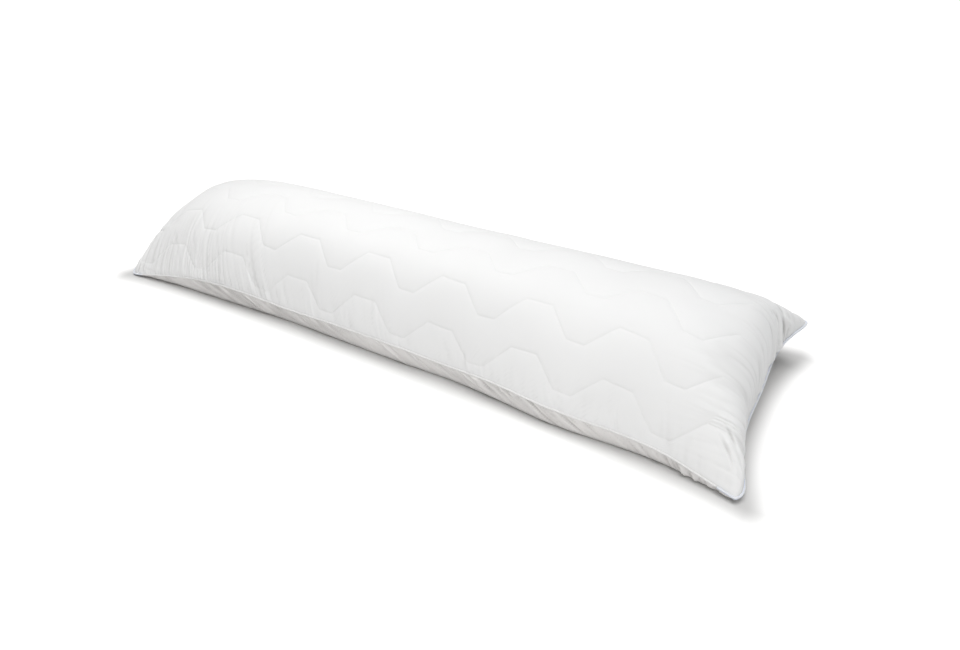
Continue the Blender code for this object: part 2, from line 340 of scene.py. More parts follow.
# The photograph's camera.
CAMERA_AZIMUTH = 30.2
CAMERA_ELEVATION = 34.0
CAMERA_DISTANCE = 1.4208
CAMERA_TARGET = (0.0839, 0.0323, -0.0212)
CAMERA_LENS = 26.89
SENSOR_WIDTH = 36.0


def by_end(s, values):
    """The value for the end of the pillow that s lies towards."""
    return np.where(s > 0, values["right"], values["left"])


def smooth_share(value):
    """0 below 0 and 1 above 1, and a smooth rise in between."""
    share = np.clip(value, 0.0, 1.0)
    return share * share * (3 - 2 * share)


def front_wave(x, direction):
    """How far the front seam stands out, or up, from a plain one."""
    return sum(wave[direction] * np.exp(-(((x - wave["x"]) / wave["reach"]) ** 2)) for wave in FRONT_WAVES)


def corner_inset(s, t, direction):
    """How far the rounding of a corner draws it in, which is nothing away from the corners."""
    front_right, others = (
        shape[direction] * np.abs(s) ** shape["along"] * np.abs(t) ** shape["across"]
        for shape in (FRONT_RIGHT_SHAPE, CORNER_SHAPE)
    )
    return np.where((s > 0) & (t < 0), front_right, others)


def plan_point(s, t):
    """X and Y of the point s along and t across, each from -1 to 1 at the seams."""
    along, across = np.abs(s), np.abs(t)
    phase = (t - by_end(s, END_WAVE["crest"])) / by_end(s, END_WAVE["pitch"])
    wave = by_end(s, END_WAVE["height"]) * np.cos(2 * math.pi * phase) * (1 - across ** FADE["end_wave"])
    draw_in = by_end(s, END_DRAW_IN) * (1 - across ** FADE["end_draw_in"]) * along ** FADE["side_draw_in"]
    draw_in = draw_in - wave * along ** FADE["end_seam"]
    x = s * (HALF_LENGTH - draw_in - corner_inset(s, t, "in_x"))
    side = SIDE_DRAW_IN * (1 - along ** FADE["side_draw_in"]) - front_wave(x, "out") * (t < 0)
    y = t * (HALF_WIDTH - side * across - corner_inset(s, t, "in_y"))
    return x, y


def rim_height(s, t):
    """Height of the seam plane: nearly level along the sides, and from corner to corner along the ends."""
    along, across = np.abs(s), np.abs(t)
    front, back = by_end(s, CORNER_HEIGHT["front"]), by_end(s, CORNER_HEIGHT["back"])
    corner = front + (back - front) * smooth_share(t + 0.5)
    middle = SEAM_HEIGHT * (1 - SEAM_SAG * s**2)
    side = corner + (middle - corner) * (1 - along ** FADE["corner_height"])
    lip = SEAM_HEIGHT * (1 + FRONT_SEAM["rise"] * s**2) + front_wave(s * HALF_LENGTH, "up")
    lip = front + (lip - front) * (1 - along ** FRONT_SEAM["fall"])
    side = side + (lip - side) * smooth_share(-2 * t - 1)
    end = by_end(s, END_SEAM_HEIGHT)
    end = end + (np.where(t > 0, back, front) - end) * across ** by_end(s, END_SEAM_RISE)
    return side + (end - side) * along ** FADE["end_seam"]


def closing(value, curve):
    """1 in the middle of the pillow and 0 at the seam."""
    return np.maximum(0.0, 1 - np.abs(value) ** curve["inner"]) ** (1 / curve["outer"])


def panel_point(s, t, upper):
    """The point s along and t across on the smooth form of a panel."""
    x, y = plan_point(s, t)
    rim = rim_height(s, t)
    if upper:
        swell = 1 + CROWN_SWELL["tilt"] * s + CROWN_SWELL["ends"] * s**2 + CROWN_SWELL["right_end"] * s**3
        across = np.where(t < 0, closing(t, FRONT_CURVE), closing(t, BACK_CURVE))
        z = rim + (CROWN_HEIGHT * swell - SEAM_HEIGHT) * closing(s, LENGTH_CURVE) * across
    else:
        reach = rim_height(np.where(s > 0, 1.0, -1.0), t)
        lengthwise = np.minimum(1.0, (1 - np.abs(s)) * HALF_LENGTH / reach) ** END_UNDERCUT_POWER
        across = np.minimum(1.0, UNDERSIDE_CURVE["depth"] * closing(t, UNDERSIDE_CURVE))
        z = rim * (1 - lengthwise * across)
    return np.stack([x, y, z], axis=-1)


def quilt_wave(x):
    """1 on the crests of the quilting wave, which lie away from the front seam, and 0 in its troughs."""
    phase = np.mod((x - WAVE_START) / WAVE_LENGTH, 1.0)
    corners = [0.0, *WAVE_CORNERS.values(), 1.0]
    return np.interp(phase, corners, [1.0, 1.0, 0.0, 0.0, 1.0])


def running_length(points, axis):
    """Length along a grid's lines from their first point."""
    steps = np.linalg.norm(np.diff(points, axis=axis), axis=-1)
    start = np.zeros_like(np.take(steps, [0], axis=axis))
    return np.concatenate([start, np.cumsum(steps, axis=axis)], axis=axis)


def graded(table, values):
    """The table's levels at these values, straight between its places."""
    places, levels = zip(*table)
    return np.interp(values, places, levels)


def evenly_spaced(s, run, pitches, count=None):
    """Values of s whose steps along the run follow the pitches: this many, or as many as those make."""
    density = np.gradient(run) / graded(pitches, run)
    share = np.cumsum(density) - density[0]
    return np.interp(np.linspace(0, share[-1], count or int(share[-1])), share, s)


def column_positions(pitches):
    """s of each column on the crown and on the rim, and the index of the first one past FINE_FROM."""
    s = np.sin(np.linspace(-1, 1, LENGTH_POINTS) * math.pi / 2)
    runs = [running_length(panel_point(s, np.full_like(s, t), True)[None], 1)[0] for t in (0.0, -1.0)]
    crown_run, rim_run = (run - np.interp(0.0, s, run) for run in runs)
    crown = evenly_spaced(s, crown_run, pitches)
    rim = evenly_spaced(s, rim_run, pitches, len(crown))
    return crown, rim, int(np.searchsorted(np.interp(crown, s, crown_run), FINE_FROM))


def place_rows(s, shares, upper):
    """t of each row of one column, so that rows keep their distance from the front seam on the panel."""
    t = np.sin(np.linspace(-1, 1, SECTION_POINTS) * math.pi / 2)
    run = running_length(panel_point(np.full_like(t, s), t, upper)[None], 1)[0]
    held = 1 - s ** ROW_HOLD["along"] if upper else 0.0
    surplus = run[-1] - PANEL_WIDTH
    reach = shares * PANEL_WIDTH + surplus * (shares + (shares ** ROW_HOLD["across"] - shares) * held)
    return np.interp(reach, run, t)


def straightened(s, t):
    """s moved so that a column stays straight across the panel until it nears the drawn-in end."""
    draw_in = by_end(s, END_DRAW_IN) * (1 - np.abs(t) ** FADE["end_draw_in"]) / HALF_LENGTH
    return s * (1 + draw_in * s ** FADE["side_draw_in"] * (1 - s ** FADE["end_seam"]))


def columns_of_points(crown, rim, rows, upper):
    """The smooth panel's points, for rows given as shares of its width, one list of them for each column."""
    t = np.stack([place_rows(s, rows[:, j], upper) for j, s in enumerate(crown)], axis=1)
    s = crown + (rim - crown) * np.abs(t) ** COLUMN_FAN
    return panel_point(straightened(s, t), t, upper)


def row_shares(shares, x, plan):
    """Rows of one column as shares of the panel's width, set close together beside each quilting line."""
    rows = [0.0]
    beside = np.array(plan["beside_line"])
    beside = np.concatenate([-beside[::-1], [0.0], beside]) / PANEL_WIDTH
    for index in range(ROWS):
        line = (FIRST_ROW + ROW_PITCH * index + WAVE_HEIGHT / 2) / PANEL_WIDTH
        for _ in range(LINE_SEARCH_ROUNDS):
            line_x = np.interp(line, shares, x)
            offset = WAVE_HEIGHT * quilt_wave(line_x) + front_wave(line_x, "out")
            line = (FIRST_ROW + ROW_PITCH * index + offset) / PANEL_WIDTH
        steps = plan["margin"] if index == 0 else plan["between"]
        rows += list(np.linspace(rows[-1], line + beside[0], steps + 1)[1:])
        rows += list(line + beside[1:])
    rows += list(np.linspace(rows[-1], 1.0, plan["margin"] + 1)[1:])
    return np.array(rows)


def lattice_noise(x, y, seed):
    """Smooth noise from -1 to 1 with one random value at each whole-number point."""
    table = np.random.default_rng(seed).random((NOISE_SIZE, NOISE_SIZE)) * 2 - 1
    left, low = np.floor(x).astype(int), np.floor(y).astype(int)
    fx, fy = x - left, y - low
    fx, fy = fx * fx * (3 - 2 * fx), fy * fy * (3 - 2 * fy)
    left, low, right, high = (index % NOISE_SIZE for index in (left, low, left + 1, low + 1))
    bottom = table[left, low] * (1 - fx) + table[right, low] * fx
    top = table[left, high] * (1 - fx) + table[right, high] * fx
    return bottom * (1 - fy) + top * fy


def quilt_distance(x, across):
    """Distance from the nearest quilting line, and how far along that line its nearest point is.

    The distance changes sign at each line, and nowhere else. The lines don't follow the seam's waves.
    """
    across = across - front_wave(x, "out")
    corner_x = np.array([0.0, *WAVE_CORNERS.values(), 1.0]) * WAVE_LENGTH
    corner_across = np.array([1.0, 1.0, 0.0, 0.0, 1.0]) * WAVE_HEIGHT
    legs = np.hypot(np.diff(corner_x), np.diff(corner_across))
    wave = np.floor((x - WAVE_START) / WAVE_LENGTH)
    local = x - WAVE_START - wave * WAVE_LENGTH
    best = np.full(x.shape, 1.0)
    signed = np.full(x.shape, 1.0)
    place = np.zeros(x.shape)
    for index in range(ROWS):
        above = across - FIRST_ROW - index * ROW_PITCH
        side = np.sign(above - WAVE_HEIGHT * quilt_wave(x)) * (-1) ** index
        for shift in (-1, 0, 1):
            for leg in range(4):
                step_x = (corner_x[leg + 1] - corner_x[leg]) / legs[leg]
                step_across = (corner_across[leg + 1] - corner_across[leg]) / legs[leg]
                away_x = local - corner_x[leg] - shift * WAVE_LENGTH
                away_across = above - corner_across[leg]
                reach = np.clip(away_x * step_x + away_across * step_across, 0, legs[leg])
                gap = np.hypot(away_x - reach * step_x, away_across - reach * step_across)
                nearer = gap < best
                best = np.where(nearer, gap, best)
                signed = np.where(nearer, gap * side, signed)
                place = np.where(nearer, (wave + shift) * legs.sum() + legs[:leg].sum() + reach, place)
    return signed, place


def gathers(along, away, layers, seed, spread=1.0):
    """Wrinkles that start at a seam and die out away from it, finer ones first."""
    form = GATHER_FORM
    height = np.zeros(along.shape)
    for index, layer in enumerate(layers):
        pitch, reach, layer_seed = layer["pitch"], layer["reach"] * spread, seed + 10 * index
        drift = lattice_noise(along / (form["drift_pitch"] * pitch), away / reach, layer_seed)
        sideways = form["drift_bend"] * drift
        fold = lattice_noise(along / pitch + sideways, away / (form["fold_reach"] * reach), layer_seed + 1)
        bunching = lattice_noise(along / (form["bunch_pitch"] * pitch), 0 * away, layer_seed + 2)
        bunch = form["bunch"]["mean"] + form["bunch"]["swing"] * bunching
        own_reach = reach * (form["reach"]["mean"] + form["reach"]["swing"] * drift)
        fading = np.exp(-((away / own_reach) ** form["fade_power"]))
        ridges = form["ridge"] * np.abs(fold) ** form["valley_power"] - form["valley"]
        height += layer["height"] * ridges * bunch * fading
    return height


def crease_height(x, across, crease):
    """A valley along a bent line, with a low ridge on each side, fading at its two ends."""
    start, bend, end, depth, width = crease
    share = np.linspace(0, 1, CREASE_FORM["points"])
    line = (
        np.array(start) * ((1 - share) ** 2)[:, None]
        + np.array(bend) * (2 * share * (1 - share))[:, None]
        + np.array(end) * (share**2)[:, None]
    )
    limit = CREASE_FORM["limit"] * width
    lowest, highest = line.min(axis=0) - limit, line.max(axis=0) + limit
    near = (x > lowest[0]) & (x < highest[0]) & (across > lowest[1]) & (across < highest[1])
    height = np.zeros(x.shape)
    if not near.any():
        return height
    gaps = np.hypot(x[near][:, None] - line[:, 0], across[near][:, None] - line[:, 1])
    phase = share[gaps.argmin(axis=1)] * CREASE_PHASE["span"] + CREASE_PHASE["first"]
    strength = np.sin(math.pi * phase) ** CREASE_FORM["power"]
    gap = gaps.min(axis=1) / width
    ridge = CREASE_FORM["ridge"] * np.exp(-((gap - CREASE_FORM["ridge_place"]) ** 2))
    height[near] = depth * strength * (ridge - np.exp(-(gap**2)))
    return height


def side_gathers(along, across, lean, spread, seeds):
    """Gathers at the front and back seams of a panel."""
    back = PANEL_WIDTH - across
    height = gathers(along + lean * across, across, SIDE_GATHERS, seeds[0], spread)
    return height + gathers(along + lean * back, back, SIDE_GATHERS, seeds[1], spread)


def end_gathers(along, across, end_gap, seeds):
    """Gathers at the left and right ends of a panel."""
    place = across + END_LEAN * end_gap
    left, right = (gathers(place, end_gap, END_GATHERS, seed) for seed in seeds)
    return np.where(along < 0, LEFT_END_STRENGTH * left, graded(RIGHT_END_STRENGTH, across) * right)


def channels(x, across):
    """The hollows along the quilting lines, and the distance from the nearest line."""
    gap = np.abs(quilt_distance(x, across)[0])
    height = -CHANNEL["line_depth"] * np.exp(-gap / CHANNEL["line_reach"])
    return height - CHANNEL["puff_depth"] * np.exp(-gap / CHANNEL["puff_reach"]), gap


def top_relief(x, along, across, end_gap):
    """How far the top panel's cloth stands off its smooth form, by its padding and by its wrinkles."""
    padding, gap = channels(x, across)
    pucker, swell = LINE_PUCKER, BROAD_SWELL
    uneven = lattice_noise(along / pucker["along"], across / pucker["across"], pucker["seed"])
    padding += pucker["height"] * uneven * np.exp(-gap / pucker["reach"])
    places = along / swell["along"] + swell["shift"][0], across / swell["across"] + swell["shift"][1]
    padding += swell["height"] * lattice_noise(*places, swell["seed"])
    lean, spread = graded(SIDE_LEAN, along), graded(SIDE_SPREAD, along)
    wrinkles = graded(SIDE_STRENGTH, along) * side_gathers(along, across, lean, spread, TOP_SEEDS["sides"])
    wrinkles += end_gathers(along, across, end_gap, TOP_SEEDS["ends"])
    for crease in TOP_CREASES:
        wrinkles += crease_height(x, across, crease)
    return padding, wrinkles


def under_relief(x, along, across, end_gap):
    """How far the under panel's cloth stands off its smooth form, by its padding and by its wrinkles."""
    seam_gap = np.minimum(across, PANEL_WIDTH - across)
    padding = UNDER_CHANNEL_SHARE * channels(x, across)[0] * smooth_share(seam_gap / UNDER_CHANNEL_MARGIN - 1)
    wrinkles = UNDER_STRENGTH * side_gathers(along, across, -UNDER_LEAN, UNDER_SPREAD, UNDER_SEEDS["sides"])
    wrinkles += end_gathers(along, across, end_gap, UNDER_SEEDS["ends"])
    for tuck_x, reach, depth, half_width in UNDER_TUCKS:
        start = (tuck_x + UNDER_LEAN * reach, reach)
        bend = (tuck_x + TUCK_BEND["x"] * UNDER_LEAN * reach, TUCK_BEND["across"] * reach)
        end = (tuck_x, -TUCK_PAST_SEAM)
        wrinkles += crease_height(x, across, (start, bend, end, depth, half_width))
    return padding, wrinkles


def surface_normals(points):
    normals = np.cross(np.gradient(points, axis=1), np.gradient(points, axis=0))
    return normals / np.maximum(np.linalg.norm(normals, axis=-1, keepdims=True), 1e-12)


def panel_rows(upper, plan, x, shares):
    """The rows of each column as shares of the panel's width."""
    count = x.shape[1]
    if upper:
        return np.stack([row_shares(shares, x[:, j], plan) for j in range(count)], axis=1)
    dense = np.linspace(0, 1, ROW_POINTS)
    even = evenly_spaced(dense, dense * PANEL_WIDTH, plan["row_pitch"])
    return np.repeat(even[:, None], count, axis=1)


def split_rows(rows, first, fine_step):
    """The rows of the columns from first on, with more between them, and how many steps each gap now has."""
    parts = np.ceil(np.diff(rows, axis=0).mean(axis=1) * PANEL_WIDTH / fine_step).astype(int)
    index = np.arange(len(rows))
    steps = np.interp(np.arange(parts.sum() + 1), np.concatenate([[0], np.cumsum(parts)]), index)
    return np.stack([np.interp(steps, index, rows[:, j]) for j in range(first, rows.shape[1])], axis=1), parts


def panel_grids(upper):
    """The panel as two grids that meet at a column, and how many steps of the second lie in each one of the
    first. Each grid is its points, their places on the cloth, and how deep in a valley they lie, which sets
    how much painted shade darkens them.
    """
    plan = TOP_GRID if upper else UNDER_GRID
    crown, rim, split = column_positions(plan["column_pitch"])
    count = len(crown)
    shares = np.linspace(0, 1, SHARE_POINTS)
    table = columns_of_points(crown, rim, np.repeat(shares[:, None], count, axis=1), upper)
    run = running_length(table, 1)
    middle = int(np.argmin(np.abs(crown)))
    lengths = run - run[:, [middle]] + table[:, [middle], 0]
    rows = panel_rows(upper, plan, table[..., 0], shares)
    finer, parts = split_rows(rows, split, plan["fine_step"])
    grids = []
    for first, last, picked in ((0, split + 1, rows[:, : split + 1]), (split, count, finer)):
        points = columns_of_points(crown[first:last], rim[first:last], picked, upper)
        columns = zip(picked.T, lengths[:, first:last].T)
        along = np.stack([np.interp(places, shares, length) for places, length in columns], axis=1)
        across = picked * PANEL_WIDTH
        start = np.interp(picked, shares, lengths[:, 0])
        end = np.interp(picked, shares, lengths[:, -1])
        end_gap = np.minimum(along - start, end - along)
        rim_gap = np.minimum(np.minimum(across, PANEL_WIDTH - across), end_gap)
        x = points[..., 0].copy()
        padding, wrinkles = (top_relief if upper else under_relief)(x, along, across, end_gap)
        held = 1 - np.exp(-rim_gap / RIM_FADE)
        wrinkles = wrinkles * held
        relief = padding * held + wrinkles
        if upper:
            points = points + surface_normals(points) * relief[..., None]
        else:
            relief = relief * smooth_share(points[..., 2] / RESTING_FADE)
            points = points - surface_normals(points) * relief[..., None]
            points[..., 2] = np.maximum(points[..., 2], 0.0)
        # Share of painted shade: none on ridges, full in valleys as deep as the full depth.
        valley = np.clip(-wrinkles / PAINTED_SHADE_FULL_DEPTH, 0.0, 1.0)
        grids.append({"points": points, "along": along, "across": across, "x": x, "valley": valley})
    return *grids, parts


def joined_faces(coarse, fine, parts, upper):
    """Faces over two grids of vertex numbers: the last coarse column meets the first, denser fine column."""

    def quads(index):
        corners = index[:-1, :-1], index[:-1, 1:], index[1:, 1:], index[1:, :-1]
        return np.stack(corners, axis=-1).reshape(-1, 4)

    shared = fine[:, 0]
    ends = np.cumsum(parts)
    bridge = [
        [coarse[row, -1], *shared[end - part : end + 1], coarse[row + 1, -1]]
        for row, (part, end) in enumerate(zip(parts, ends))
    ]
    faces = [list(face) for face in quads(coarse)] + bridge + [list(face) for face in quads(fine)]
    return faces if upper else [face[::-1] for face in faces]


def add_uv(mesh, name, first, second, loops):
    layer = mesh.uv_layers.new(name=name)
    values = np.stack([first[loops], second[loops]], axis=-1)
    layer.data.foreach_set("uv", values.astype(np.float32).ravel())


def make_mesh(name, points, faces):
    """A smooth-shaded piece with these faces, and the vertex number of each of its corners."""
    loops = np.concatenate([np.array(face) for face in faces])
    sizes = np.array([len(face) for face in faces])
    mesh = bpy.data.meshes.new(name)
    mesh.vertices.add(len(points))
    mesh.vertices.foreach_set("co", points.astype(np.float32).ravel())
    mesh.loops.add(len(loops))
    mesh.loops.foreach_set("vertex_index", loops.astype(np.int32))
    mesh.polygons.add(len(faces))
    mesh.polygons.foreach_set("loop_start", (np.cumsum(sizes) - sizes).astype(np.int32))
    mesh.update(calc_edges=True)
    mesh.polygons.foreach_set("use_smooth", np.ones(len(faces), dtype=bool))
    piece = bpy.data.objects.new(name, mesh)
    bpy.context.scene.collection.objects.link(piece)
    return piece, loops


def make_panel(name, upper, material):
    """One panel as a piece, and the points of its rim side by side: front, right, back, left."""
    coarse, fine, parts = panel_grids(upper)
    kept = coarse["points"][:, :-1]
    first, second = (np.arange(grid[..., 0].size).reshape(grid.shape[:2]) for grid in (kept, fine["points"]))
    second += first.size
    merged = {
        key: np.concatenate([coarse[key][:, :-1].ravel(), fine[key].ravel()])
        for key in ("along", "across", "x", "valley")
    }
    points = np.concatenate([kept.reshape(-1, 3), fine["points"].reshape(-1, 3)])
    piece, loops = make_mesh(name, points, joined_faces(first, second, parts, upper))
    add_uv(piece.data, "cloth", merged["along"], merged["across"], loops)
    signed, place = quilt_distance(merged["x"], merged["across"])
    add_uv(piece.data, "quilting", place, signed, loops)
    # This map carries the share of painted shade in the wrinkles' valleys to the material.
    add_uv(piece.data, "wrinkles", merged["valley"], merged["valley"], loops)
    piece.data.materials.append(material)
    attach(piece, "root")
    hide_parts("pillow_body")
    front = np.concatenate([kept[0], fine["points"][0]])
    back = np.concatenate([kept[-1], fine["points"][-1]])[::-1]
    return front, fine["points"][:, -1], back, kept[::-1, 0]


def outward_directions(rim):
    """Level unit directions out of the closed rim, which runs anticlockwise seen from above."""
    ahead = (np.roll(rim, -1, axis=0) - rim)[:, :2]
    behind = (rim - np.roll(rim, 1, axis=0))[:, :2]
    ahead = ahead / np.linalg.norm(ahead, axis=1, keepdims=True)
    behind = behind / np.linalg.norm(behind, axis=1, keepdims=True)
    course = ahead + behind
    course = course / np.linalg.norm(course, axis=1, keepdims=True)
    return np.stack([course[:, 1], -course[:, 0], np.zeros(len(rim))], axis=-1)


def make_cord(name, core, outward, places, radius, node, material, seed):
    """A stitched strip beside the rim: round, with a small swelling at each stitch."""
    course = np.gradient(core, axis=0)
    course = course / np.linalg.norm(course, axis=1, keepdims=True)
    upward = np.cross(outward, course)
    upward = upward * np.sign(upward[:, [2]])
    wander = CORD_WANDER["height"] * lattice_noise(places / CORD_WANDER["pitch"], 0 * places, seed)
    core = core + upward * wander[:, None]
    angles = np.linspace(0, 2 * math.pi, TUBE_SIDES, endpoint=False)
    girth = radius * (1 - STITCH_SWELL + STITCH_SWELL * np.cos(2 * math.pi * places / STITCH_PITCH))
    girth[[0, -1]] = radius * CORD_TIP
    rings = (
        core[None]
        + np.cos(angles)[:, None, None] * outward[None] * girth[None, :, None]
        + np.sin(angles)[:, None, None] * upward[None] * girth[None, :, None]
    )
    index = np.arange(TUBE_SIDES * len(places)).reshape(TUBE_SIDES, len(places))
    after = np.roll(index, -1, axis=0)
    sides = np.stack([index[:, :-1], after[:, :-1], after[:, 1:], index[:, 1:]], axis=-1).reshape(-1, 4)
    faces = [list(face) for face in sides] + [list(index[::-1, 0]), list(index[:, -1])]
    piece, loops = make_mesh(name, rings.reshape(-1, 3), faces)
    turn = np.repeat(angles / (2 * math.pi), len(places))
    add_uv(piece.data, "cord", np.tile(places, TUBE_SIDES), turn, loops)
    piece.data.materials.append(material)
    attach(piece, "root")
    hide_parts(node)


def make_rim_pieces(sides, white, blue):
    """White edging along each long seam, and piping along each end and round its two corners."""
    rim = np.concatenate([side[:-1] for side in sides])
    outward = outward_directions(rim)
    run = running_length(np.concatenate([rim, rim[:1]])[None], 1)[0]
    corners = run[np.cumsum([0] + [len(side) - 1 for side in sides])]
    around = corners[-1]
    laid = np.concatenate([run[:-1], run[:-1] + around])
    stretches = (
        ("front_edging", "front_seam_edging", corners[0] + PIPING_TURN, corners[1] - PIPING_TURN),
        ("right_piping", "right_end_piping", corners[1] - PIPING_TURN, corners[2] + PIPING_TURN),
        ("back_edging", "back_seam_edging", corners[2] + PIPING_TURN, corners[3] - PIPING_TURN),
        ("left_piping", "left_end_piping", corners[3] - PIPING_TURN, around + PIPING_TURN),
    )
    for order, (name, node, start, end) in enumerate(stretches):
        edging = order % 2 == 0
        radius = EDGING_RADIUS if edging else PIPING_RADIUS
        places = np.linspace(start + CLEARANCE, end - CLEARANCE, int((end - start) / CORD_STEP))
        core, out = (
            np.stack([np.interp(places, laid, np.tile(values[:, k], 2)) for k in range(3)], axis=-1)
            for values in (rim, outward)
        )
        out = out / np.linalg.norm(out, axis=1, keepdims=True)
        core = core + out * (radius - SEWN_IN)
        slot, material = ("seam_edging", white) if edging else ("end_piping", blue)
        seed = CORD_WANDER["first_seed"] + order
        make_cord(name, core, out, places - start, radius, node, material, seed)


class Nodes:
    """Small helper for building a material's node tree."""

    def __init__(self, name):
        self.material = bpy.data.materials.new(name)
        self.material.use_nodes = True
        self.tree = self.material.node_tree
        self.shader = self.tree.nodes["Principled BSDF"]

    def add(self, kind, **settings):
        node = self.tree.nodes.new(kind)
        for key, value in settings.items():
            setattr(node, key, value)
        return node

    def link(self, start, end):
        self.tree.links.new(start, end)

    def math(self, operation, first, second=None):
        node = self.add("ShaderNodeMath", operation=operation)
        for socket, value in zip(node.inputs, (first, second)):
            if value is None:
                continue
            if isinstance(value, (int, float)):
                socket.default_value = value
            else:
                self.link(value, socket)
        return node.outputs[0]

    def vector(self, operation, first, second=None):
        node = self.add("ShaderNodeVectorMath", operation=operation)
        self.link(first, node.inputs[0])
        if isinstance(second, tuple):
            node.inputs[1].default_value = second
        elif second is not None:
            self.link(second, node.inputs[1])
        return node.outputs[0]

    def length(self, vector):
        node = self.add("ShaderNodeVectorMath", operation="LENGTH")
        self.link(vector, node.inputs[0])
        return node.outputs["Value"]

    def draw_in(self, value, half, power, depth):
        """How far the plan is drawn in: depth in the middle of a side, and 0 at its corners and beyond."""
        share = self.math("POWER", self.math("DIVIDE", value, half), power)
        return self.math("MULTIPLY", self.math("MAXIMUM", self.math("SUBTRACT", 1.0, share), 0.0), depth)

    def rise(self, value, start, end, height):
        """A smooth rise from 0 at start to height at end."""
        node = self.add("ShaderNodeMapRange", interpolation_type="SMOOTHSTEP")
        self.link(value, node.inputs["Value"])
        node.inputs["From Min"].default_value = start
        node.inputs["From Max"].default_value = end
        node.inputs["To Min"].default_value = 0.0
        node.inputs["To Max"].default_value = height
        return node.outputs["Result"]

    def uv(self, name):
        node = self.add("ShaderNodeUVMap", uv_map=name)
        split = self.add("ShaderNodeSeparateXYZ")
        self.link(node.outputs[0], split.inputs[0])
        return node.outputs[0], split.outputs[0], split.outputs[1]

    def sine(self, value, pitch):
        return self.math("SINE", self.math("MULTIPLY", value, 2 * math.pi / pitch))

    def noise(self, vector, scale, stretch=(1.0, 1.0, 1.0), detail=2.0):
        mapping = self.add("ShaderNodeMapping")
        mapping.inputs["Scale"].default_value = stretch
        self.link(vector, mapping.inputs["Vector"])
        texture = self.add("ShaderNodeTexNoise")
        texture.inputs["Scale"].default_value = scale
        texture.inputs["Detail"].default_value = detail
        self.link(mapping.outputs[0], texture.inputs["Vector"])
        return texture.outputs["Fac"]


def colour_mix(nodes, share, first, second):
    node = nodes.add("ShaderNodeMix", data_type="RGBA")
    factor, a, b = node.inputs[0], node.inputs[6], node.inputs[7]
    nodes.link(share, factor)
    a.default_value = first
    b.default_value = second
    return node.outputs[2]


def bump(nodes, height, kind, normal=None):
    node = nodes.add("ShaderNodeBump")
    node.inputs["Strength"].default_value, node.inputs["Distance"].default_value = BUMPS[kind]
    nodes.link(height, node.inputs["Height"])
    if normal is not None:
        nodes.link(normal, node.inputs["Normal"])
    return node.outputs[0]


def cotton_material(name, darker, lighter):
    """Woven cotton with slubs, quilting stitches, and painted shade in the valleys of its wrinkles."""
    nodes = Nodes(name)
    cloth, along, across = nodes.uv("cloth")
    _, place, gap = nodes.uv("quilting")
    weave = nodes.math("MULTIPLY", nodes.sine(along, WEAVE_PITCH), nodes.sine(across, WEAVE_PITCH))
    slub = nodes.noise(cloth, **SLUB)
    tone = nodes.noise(cloth, MOTTLE["cotton"], detail=3.0)
    normal = bump(nodes, weave, "weave")
    normal = bump(nodes, slub, "slub", normal)
    near = nodes.math("LESS_THAN", nodes.math("ABSOLUTE", gap), QUILT_STITCH["half_width"])
    dash = nodes.math("GREATER_THAN", nodes.sine(place, STITCH_PITCH), QUILT_STITCH["dash_level"])
    stitch = nodes.math("MULTIPLY", near, dash)
    normal = bump(nodes, stitch, "stitch", normal)
    colour = colour_mix(nodes, tone, darker, lighter)
    # Painted shade: the colour is multiplied darker in the wrinkles' valleys.
    _, valley, _ = nodes.uv("wrinkles")
    shade = colour_mix(nodes, valley, WHITE, PAINTED_VALLEY_SHADE_TONE)
    nodes.link(nodes.vector("MULTIPLY", colour, shade), nodes.shader.inputs["Base Color"])
    nodes.link(normal, nodes.shader.inputs["Normal"])
    nodes.shader.inputs["Roughness"].default_value = 0.86
    nodes.shader.inputs["Specular IOR Level"].default_value = 0.25
    nodes.shader.inputs["Sheen Weight"].default_value = 0.25
    nodes.shader.inputs["Sheen Roughness"].default_value = 0.5
    return nodes.material


def add_threads(nodes):
    """Slanting threads round a cord. Returns the distance along it, slanted as they are."""
    _, length, turn = nodes.uv("cord")
    lean = nodes.math("ADD", length, nodes.math("MULTIPLY", turn, STITCH_PITCH))
    thread = nodes.sine(lean, STITCH_PITCH / THREADS_PER_STITCH)
    nodes.link(bump(nodes, thread, "thread"), nodes.shader.inputs["Normal"])
    return lean


def edging_material():
    """White stitched edging."""
    nodes = Nodes("seam_edging")
    add_threads(nodes)
    nodes.shader.inputs["Base Color"].default_value = EDGING_TONE
    nodes.shader.inputs["Roughness"].default_value = 0.7
    nodes.shader.inputs["Sheen Weight"].default_value = 0.2
    return nodes.material


def piping_material():
    """White piping with a pale blue thread along each side of it."""
    nodes = Nodes("end_piping")
    lean = add_threads(nodes)
    cord, _, turn = nodes.uv("cord")
    face = 2 * math.radians(BLUE_THREAD["face"])
    facing = nodes.math("COSINE", nodes.math("SUBTRACT", nodes.math("MULTIPLY", turn, 4 * math.pi), face))
    line = nodes.math("LESS_THAN", nodes.math("ABSOLUTE", facing), BLUE_THREAD["half_width"])
    dash = nodes.math("GREATER_THAN", nodes.sine(lean, STITCH_PITCH), BLUE_THREAD["dash_level"])
    share = nodes.math("MULTIPLY", dash, BLUE_THREAD["dash_share"])
    blue = nodes.math("MULTIPLY", line, nodes.math("ADD", share, nodes.noise(cord, MOTTLE["piping"])))
    nodes.link(colour_mix(nodes, blue, *PIPING_TONES), nodes.shader.inputs["Base Color"])
    nodes.shader.inputs["Roughness"].default_value = 0.65
    nodes.shader.inputs["Sheen Weight"].default_value = 0.2
    return nodes.material


